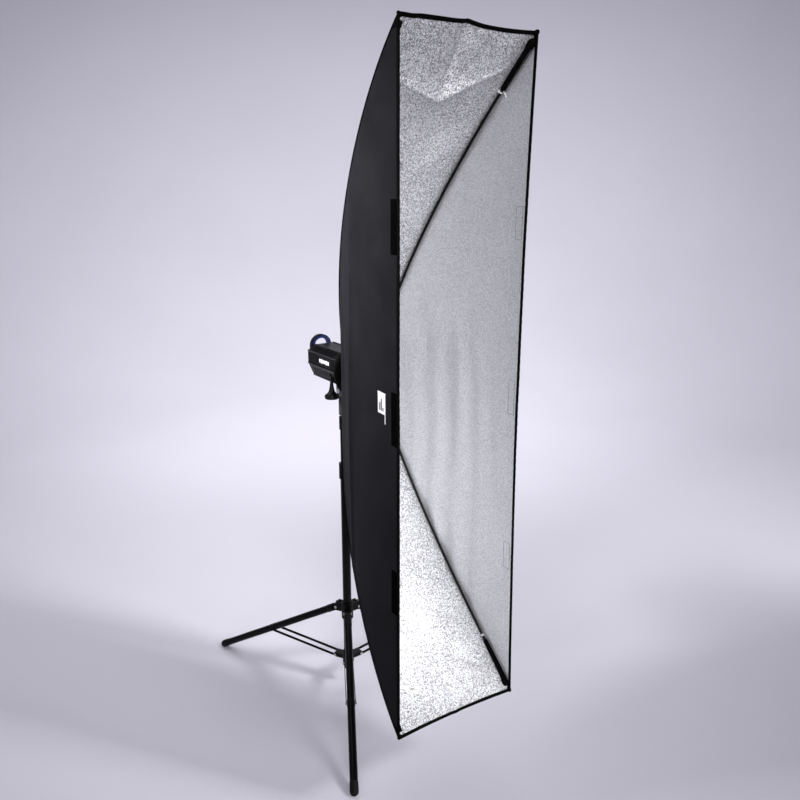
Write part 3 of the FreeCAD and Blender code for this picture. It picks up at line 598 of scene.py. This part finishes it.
def end_sag(t, s, hand):
    """How far the top or bottom panel lies inside its ruled surface."""
    a = along(False, t)
    half = seam(t)[..., 0]
    x = s * half
    total = float(along(False, 1.0))
    free = 1 - s ** 2
    folds = TOP_FOLDS if hand > 0 else BOTTOM_FOLDS
    at = {name: (total - back, across) for name, (across, back) in folds.items()}
    arms = np.maximum(fold(a, x, at["left"], at["point"], 0.012),
                      fold(a, x, at["right"], at["point"], 0.008))
    spine = fold(a, x, at["middle"], at["front"], 0.007)
    raised = 5 * MM if hand > 0 else 0
    sag = (raised * arms - 2.5 * MM * spine) * np.minimum(1, free * 4)
    limit = np.interp(x, [at[name][1] for name in ("left", "point", "right")],
                      [at[name][0] for name in ("left", "point", "right")])
    flap = np.clip((a - limit) / 0.035, 0, 1)
    flap = flap * flap * (3 - 2 * flap)
    to_front = np.clip((total - a) / 0.05, 0, 1)
    kink = to_front * np.minimum(1, free * 2)
    from_fold = x - np.interp(a, [at["middle"][0], at["front"][0]],
                              [at["middle"][1], at["front"][1]])
    facet = 9 * MM * (1 - np.exp(-np.abs(from_fold) / 0.06)) - 3 * MM
    sag += flap * kink * facet
    crease = kink * np.exp(-np.abs(a - limit) / 0.05)
    front = bell(total - a, 0.10)
    if hand > 0:
        sag += 8 * MM * crease
        sag += front * 3 * MM * np.clip(x / 0.085 * (2 - x / 0.085), 0, 1) ** 1.2
        sag -= front * 2 * MM * np.clip(-x / 0.085 * (2 + x / 0.085), 0, 1)
        sag -= 2.5 * MM * bell(total - a, 0.05) * bell(x + 0.006, 0.028)
        sag += 5 * MM * flap * bell(x + 0.150, 0.016) * free
        sag += 2 * MM * flap * to_front * np.cos(
            (x - 0.6 * (total - a)) / 0.013) * bell(x - 0.07, 0.06)
    else:
        sag -= 16 * MM * crease
        sag += front * 7 * MM * free
        sag += 1.5 * MM * flap * to_front * np.cos((x + 0.5 * (total - a)) / 0.016)
    sag += 6 * MM * free * np.sin(math.pi * np.clip(a / total, 0, 1)) ** 2
    calm = 0.3 + 0.7 * to_front
    sag += 2.6 * MM * ripple(x, a * 1.3, 0.09) * free * calm
    sag += 0.7 * MM * ripple(x, a, 0.03) * free * calm
    to_seam = (1 - np.abs(s)) * half
    sag += 0.5 * MM * np.exp(-to_seam / 0.012) * np.sin(a / 0.0028 + 2 * ripple(a, x, 0.04))
    return sag


def skin(upright, hand, t, s):
    """Outer points of a panel and its unit normals into the bag, over a grid."""
    t, s = np.meshgrid(np.asarray(t, float), np.asarray(s, float), indexing="ij")

    def ruled(t, s):
        edge = seam(t)
        if upright:
            return np.stack([hand * edge[..., 0], edge[..., 1], s * edge[..., 2]], axis=-1)
        return np.stack([s * edge[..., 0], edge[..., 1], hand * edge[..., 2]], axis=-1)

    small = 1e-4
    base = ruled(t, s)
    inward = np.cross(ruled(t + small, s) - ruled(t - small, s), ruled(t, s + 0.01) - base)
    inward /= np.linalg.norm(inward, axis=-1)[..., None]
    if upright:
        inward *= -np.sign(inward[..., :1]) * hand
    else:
        inward *= -np.sign(inward[..., 2:]) * hand
    sag = side_sag(t, s, hand) if upright else end_sag(t, s, hand)
    front = np.clip((t - 0.97) / 0.03, 0, 1)[..., None]
    plain = inward.copy()
    plain[..., 1] = 0
    plain /= np.linalg.norm(plain, axis=-1)[..., None]
    push = inward * (1 - front) + plain * front
    push /= np.linalg.norm(push, axis=-1)[..., None]
    points = base + push * sag[..., None]
    points[..., 1] += FRONT_Y
    points[..., 2] += AXIS_Z
    return points, push


PANELS = {
    "bag_side_left": (True, -1), "bag_side_right": (True, 1),
    "bag_top": (False, 1), "bag_bottom": (False, -1),
}


def stations(upright, pitch):
    """Values of t about one pitch of cloth apart."""
    total = float(along(upright, 1.0))
    count = int(round(total / pitch))
    return at_length(upright, np.linspace(0, total, count + 1))


def panel(node, paints):
    upright, hand = PANELS[node]
    t = stations(upright, PANEL_PITCH)
    half = HALF_H if upright else HALF_W
    s = np.linspace(-1, 1, int(round(2 * half / PANEL_PITCH)) + 1) * (1 - 0.4 * MM / half)
    outer, inward = skin(upright, hand, t, s)
    inner = outer + inward * SKIN
    build = Build()
    a = along(upright, t)[:, None] + 0 * s[None, :]
    w = s[None, :] * seam(t)[:, 2 if upright else 0][:, None]
    build.shell(outer, inner, (0, 1, 0), np.stack([a, w], axis=2))
    if not (upright == (hand > 0)):
        build.faces = [tuple(reversed(f)) for f in build.faces]
    lining = paints["silver_side" if upright else "silver_end"]
    made = build.finish(node + "_skin", [paints["fabric_black"], lining], "softbox",
                        "fabric_black")
    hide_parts(node)
    return made


def black_trim(build, name, paints):
    return build.finish(name, [paints["binding_black"]], "softbox", "binding_black")


def binding(node, paints):
    """Folded tape over the front edge of a panel."""
    upright, hand = PANELS[node]
    total = float(along(upright, 1.0))
    half = HALF_H if upright else HALF_W
    s = np.linspace(-1, 1, int(round(2 * half / TAPE_PITCH)) + 1)
    rows = []
    for back, lift in ((8, 0.1), (7.4, 1), (4, 1), (0.6, 1), (0, 0.8)):
        points, inward = skin(upright, hand, [float(at_length(upright, total - back * MM))], s)
        rows.append(points[0] - inward[0] * TAPE_PROUD * lift)
    nose, inward = skin(upright, hand, [1.0], s)
    nose = nose[0] + inward[0] * SKIN / 2
    nose[:, 1] -= 1.3 * MM
    rows.append(nose)
    for back, lift in ((0, 0.8), (0.6, 1), (3, 1), (6.4, 1), (7, 0.1)):
        points, inward = skin(upright, hand, [float(at_length(upright, total - back * MM))], s)
        rows.append(points[0] + inward[0] * (SKIN + TAPE_PROUD * lift))
    loop = np.stack(rows)
    count, cols = loop.shape[:2]
    index = np.arange(count * cols).reshape(count, cols)
    faces = []
    for i in range(count):
        j = (i + 1) % count
        for k in range(cols - 1):
            faces.append((index[i, k], index[i, k + 1], index[j, k + 1], index[j, k]))
    faces.append(tuple(index[:, 0]))
    faces.append(tuple(reversed(index[:, -1])))
    across = np.linspace(0, 0.024, count)[:, None] + 0 * s[None, :]
    lengthways = s[None, :] * half + 0 * across
    build = Build()
    build.add(loop.reshape(-1, 3), faces, np.stack([across, lengthways], 2).reshape(-1, 2))
    return black_trim(build, node + "_binding", paints)


def seam_point(t, corner):
    """Point on one of the four seams; corner is (sign of x, sign of z)."""
    place = seam(t)
    return np.stack([corner[0] * place[..., 0], place[..., 1] + FRONT_Y,
                     corner[1] * place[..., 2] + AXIS_Z], axis=-1)


def rod_point(t, corner):
    """Point on the middle line of one of the four rods."""
    place = curve(t, ROD_LINE)
    return np.stack([corner[0] * place[..., 0], place[..., 1] + FRONT_Y,
                     corner[1] * place[..., 2] + AXIS_Z], axis=-1)


SLEEVE_T = 0.815             # share of the rod at which the sleeve over its end starts
PIPING_R = 1.9 * MM
# How far past the corner (mm), and how thick there (mm): loose ends knotted, or capped.
KNOT = ((-7, 3), (-4, 5.5), (-1, 6), (2, 4.5), (4, 1.5))
CAP = ((-6, 2), (-4, 3.6), (-2, 4.2), (0, 3.6), (1.2, 1.8))
CORNERS = {"upper_right": (1, 1), "upper_left": (-1, 1),
           "lower_right": (1, -1), "lower_left": (-1, -1)}


def rods_and_pockets(paints):
    """The four rods; returns the piping and the sleeves with their corner ends."""
    made = []
    for name, corner in CORNERS.items():
        build = Build()
        build.tube(rod_point(np.linspace(0, 1, 70), corner), ROD_R, 16)
        rod = build.finish("rod_" + name, [paints["rod_black"]], "softbox", "rod_black")
        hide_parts("bag_rods")
        piping = Build()
        piping.tube(seam_point(np.linspace(BACK_T, 0.998, 90), corner), PIPING_R, 10)
        made.append(black_trim(piping, "piping_" + name, paints))
        sleeve = Build()
        t = np.linspace(SLEEVE_T, 1.0, 40)
        wide = 9.0 if corner[0] > 0 else 6.0
        radii = np.interp(t, (SLEEVE_T, SLEEVE_T + 0.004, 0.96, 0.975, 0.99, 1.0),
                          np.array((3.8, 5.6, 6.4, wide, wide, 5.0)) * MM)
        sleeve.tube(rod_point(t, corner), radii, 16, flat=0.8)
        cap = KNOT if corner[0] > 0 else CAP
        outward = np.array([(corner[0] * (HALF_W + out * MM), FRONT_Y + 4 * MM,
                             AXIS_Z + corner[1] * (HALF_H + out * MM)) for out, _ in cap])
        sleeve.tube(outward, np.array([radius for _, radius in cap]) * MM, 14)
        hem = rod_point(t[:-3], corner)
        reach = np.sin(np.linspace(0.25, 0.5, len(hem)) * math.pi)[:, None]
        hem = hem + reach * np.array((1.5 * MM * corner[0], -11 * MM, -4 * MM * corner[1]))
        sleeve.tube(hem, 1.0 * MM, 6)
        made.append(black_trim(sleeve, "pocket_" + name, paints))
    return made


def patch(build, upright, hand, corner_s, reach, lift):
    """Three-cornered patch in a front corner of a panel, on its inner or outer face."""
    steps = 8
    total = float(along(upright, 1.0))
    top = np.zeros((steps + 1, steps + 1, 3))
    under = np.zeros_like(top)
    for i, back in enumerate(np.linspace(0.5 * MM, reach, steps + 1)):
        room = (reach - back) * 0.9 + 1.5 * MM
        for j, aside in enumerate(np.linspace(0.3 * MM, room, steps + 1)):
            t = float(at_length(upright, total - back))
            limit = float(seam(t)[2 if upright else 0])
            s = corner_s * (limit - aside) / limit
            point, inward = skin(upright, hand, [t], [s])
            top[i, j] = point[0, 0] + inward[0, 0] * lift[1]
            under[i, j] = point[0, 0] + inward[0, 0] * lift[0]
    build.shell(top, under)


def corner_patches(paints):
    made = []
    for name, (sx, sz) in CORNERS.items():
        build = Build()
        for upright, hand, corner_s in ((True, sx, sz), (False, sz, sx)):
            patch(build, upright, hand, corner_s, 26 * MM, (-1.6 * MM, 0.2 * MM))
            patch(build, upright, hand, corner_s, 15 * MM, (SKIN - 0.2 * MM, SKIN + 1.4 * MM))
        made.append(black_trim(build, "corner_" + name, paints))
    return made


# Hook-and-loop strips on both side panels, as (low, high) from the axis.
STRIPS = ((0.350, 0.460), (-0.062, 0.058), (-0.470, -0.362))


def strip_on(build, hand, depths, heights, lift):
    """Thin strip on a side panel; depths are behind the front, heights from the axis."""
    total = float(along(True, 1.0))
    t = at_length(True, total - np.linspace(depths[0], depths[1], 7))
    rows_top, rows_under = [], []
    for each in t:
        limit = float(seam(each)[2])
        s = np.linspace(heights[0], heights[1], 28) / limit
        point, inward = skin(True, hand, [each], s)
        rows_top.append(point[0] + inward[0] * lift[1])
        rows_under.append(point[0] + inward[0] * lift[0])
    build.shell(np.stack(rows_top), np.stack(rows_under))


def stitches(build, hand, line, pitch, radius, lift):
    """Row of thread on a side panel along (depth, height) corners."""
    total = float(along(True, 1.0))
    for (d0, z0), (d1, z1) in zip(line, line[1:]):
        count = max(1, int(round(math.hypot(d1 - d0, z1 - z0) / pitch)))
        for k in range(count):
            ends = []
            for share in ((k + 0.15) / count, (k + 0.85) / count):
                depth, height = d0 + (d1 - d0) * share, z0 + (z1 - z0) * share
                t = float(at_length(True, total - depth))
                point, inward = skin(True, hand, [t], [height / float(seam(t)[2])])
                ends.append(point[0, 0] + inward[0, 0] * lift)
            build.tube(ends, radius, 5)


def side_trims(hand, paints):
    name = "left" if hand < 0 else "right"
    strips = Build()
    thread = Build()
    for low, high in STRIPS:
        strip_on(strips, hand, (6 * MM, 30 * MM), (low, high), (-1.5 * MM, 0.1 * MM))
        low, high = low + 0.019, high - 0.018
        box = [(14 * MM, low), (14 * MM, high), (36 * MM, high), (36 * MM, low),
               (14 * MM, low)]
        stitches(thread, hand, box, 5 * MM, 0.45 * MM, SKIN + 0.25 * MM)
    return [
        strips.finish("loop_strips_" + name, [paints["loop_tape"]], "softbox",
                      "binding_black"),
        thread.finish("strip_stitching_" + name, [paints["thread_dark"]], "softbox",
                      "binding_black"),
    ]


def label(paints):
    """Plain woven patch on the near side panel, with a bare bar mark and a short tail."""
    near, far = 0.057, 0.0905
    patch_on = Build()
    strip_on(patch_on, -1, (near, far), (-0.001, 0.048), (-0.9 * MM, 0.0))
    strip_on(patch_on, -1, (near, near + 2.5 * MM), (-0.022, 0.001), (-0.7 * MM, 0.0))
    white = patch_on.finish("label_patch", [paints["white_tape"]], "softbox",
                            "fabric_black")
    mark = Build()
    for depth, low, high in ((0.2, 0.006, 0.014), (0.42, 0.006, 0.034), (0.64, 0.006, 0.024)):
        start = near + (far - near) * depth
        strip_on(mark, -1, (start, start + 5 * MM), (low, high), (-1.15 * MM, -0.8 * MM))
    bars = mark.finish("label_bars", [paints["ink_grey"]], "softbox", "fabric_black")
    return [white, bars]


def ties(paints):
    """Short white cords that hold the rods, each looped over a rod with a loose tail."""
    build = Build()
    for sx, sz, share in ((1, 1, 0.808), (1, -1, 0.80), (-1, 1, 0.808), (-1, -1, 0.80)):
        centre = rod_point(np.array(share), (sx, sz))
        ahead = rod_point(np.array(share + 0.01), (sx, sz)) - centre
        ahead /= np.linalg.norm(ahead)
        side = np.cross(ahead, (0, 0, 1.0))
        side /= np.linalg.norm(side)
        up = np.cross(side, ahead)
        loop = []
        for k in range(26):
            a = 2 * math.pi * k / 25 * 1.6
            drift = ahead * (k / 25 - 0.5) * 5 * MM
            loop.append(centre + drift + (ROD_R + 1.0 * MM) * (
                math.cos(a) * side + math.sin(a) * up))
        tail = loop[-1]
        reach = Vector((-sx * 0.15, -0.75, -0.1)).normalized()
        for k in range(1, 7):
            hook = np.array(reach) * k * 2.4 * MM + np.array((0, 0, -0.00030 * k * k))
            loop.append(tail + hook)
        build.tube(loop, 1.4 * MM, 8)
    return build.finish("rod_ties", [paints["white_tape"]], "softbox", "binding_black")


def rear_collar(paints):
    """Elastic collar from the bag's rear opening over the rim of the speed ring."""
    start = seam(np.array(BACK_T))
    stations = np.array((0, 0.18, 0.36, 0.46, 0.56, 0.66, 0.76, 0.88, 1.0))
    depth = np.interp(stations, (0, 0.36, 0.76, 1),
                      (float(start[1]) - 7 * MM, float(start[1]) + 1 * MM, 0.4665, 0.4750))
    round_off = np.interp(stations, (0, 0.36, 0.76, 1), (0, 0, 1, 1))
    count = 180
    rows = []
    for share, y, mix in zip(stations, depth, round_off):
        ring = []
        for c in range(count):
            a = 2 * math.pi * c / count
            x, z = math.cos(a), math.sin(a)
            stretch = 1 / max(abs(x), abs(z)) ** 0.93
            gather = 0.9 * MM * math.sin(a * 46) * (0.3 + 0.7 * share)
            w = (1 - mix) * (float(start[0]) + 0.8 * MM) * stretch + mix * COLLAR_R
            h = (1 - mix) * (float(start[2]) + 0.8 * MM) * stretch + mix * COLLAR_R
            ring.append((x * (w + gather), FRONT_Y + y, AXIS_Z + z * (h + gather)))
        rows.append(ring + ring[:1])
    outer = np.array(rows)
    inner = outer.copy()
    centre = np.array((0, 0, AXIS_Z))
    inner[..., [0, 2]] = (outer - centre)[..., [0, 2]] * 0.983 + centre[[0, 2]]
    build = Build()
    build.shell(outer, inner)
    return black_trim(build, "rear_elastic", paints)


def bag(paints):
    trims = {node: [binding(node, paints)] for node in PANELS}
    for piece in trims["bag_top"] + trims["bag_bottom"]:
        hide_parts("bag_bindings")
    rods_trim = rods_and_pockets(paints)
    patches = corner_patches(paints)
    collar = rear_collar(paints)
    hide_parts("bag_bindings")
    trims["bag_side_left"] += side_trims(-1, paints) + label(paints)
    trims["bag_side_right"] += side_trims(1, paints) + [ties(paints)]
    trims["bag_top"] += rods_trim
    trims["bag_bottom"] += patches + [collar]
    for node, (upright, _) in PANELS.items():
        made = panel(node, paints)


# ---------------------------------------------------------------- 5 head
SHELL_X = 0.0530                    # the head's flat sides
RAILS = ((SHELL_X, 0.027), (SHELL_X, -0.010), (0.0300, 0.042), (0.0360, -0.047))
PLATE_Z = 0.0085                    # the marks' plate, above the head's axis
PLATE = ((-0.030, 0.0), (-0.024, 0.0115), (0.048, 0.0115), (0.054, 0.0),
         (0.048, -0.0115), (-0.024, -0.0115), (-0.030, 0.0))
MARK_START, MARK_PITCH, MARK_WIDTH, MARK_DEPTH = -0.018, 0.0124, 0.0088, 0.5 * MM


def head(paints):
    """Ribs along the head's shell, and a row of bare blocks on a rimmed plate each side."""
    low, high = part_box("head_side_panels")
    rails = Build()
    for x, z in RAILS:
        for hand in (-1, 1):
            line = [(hand * x, y, AXIS_Z + z) for y in np.linspace(low.y + MM, high.y - MM, 12)]
            rails.tube(line, 2.3 * MM, 14)
    rails.finish("head_rails", [paints["head_dark"]], "head", "head_dark")
    marks = Build()
    frame_rim = Build()
    for hand in (-1, 1):
        x = hand * SHELL_X
        raised = x + hand * MARK_DEPTH
        middle = AXIS_Z + PLATE_Z
        frame_rim.tube([(x, y, middle + z) for y, z in PLATE], 0.8 * MM, 8)
        for k in range(5):
            y = MARK_START + k * MARK_PITCH
            tall = (5.4 + 0.9 * (k % 2)) * MM
            marks.block((min(x, raised), y, middle - tall),
                        (max(x, raised), y + MARK_WIDTH, middle + tall), 0.15 * MM)
    frame_rim.finish("head_mark_rims", [paints["head_dark"]], "head", "head_dark")
    marks.finish("head_marks", [paints["ink_white"]], "head", "head_grey")


# ---------------------------------------------------------------- 6 the CAD's own pieces
def paint_nodes(paints):
    """Every CAD node gets the material of the slot that the record names."""
    slots = {}
    for part in frame["record"]["subparts"]:
        slots[part["node"]] = part["material_slot"]
    for name, node in NODES.items():
        node.data.materials.clear()
        node.data.materials.append(paints[slots[name]])


# ---------------------------------------------------------------- 7 finish
make_camera()
PAINTS = make_materials()
make_light()
make_floor(studio_grey())
bag(PAINTS)
head(PAINTS)
paint_nodes(PAINTS)
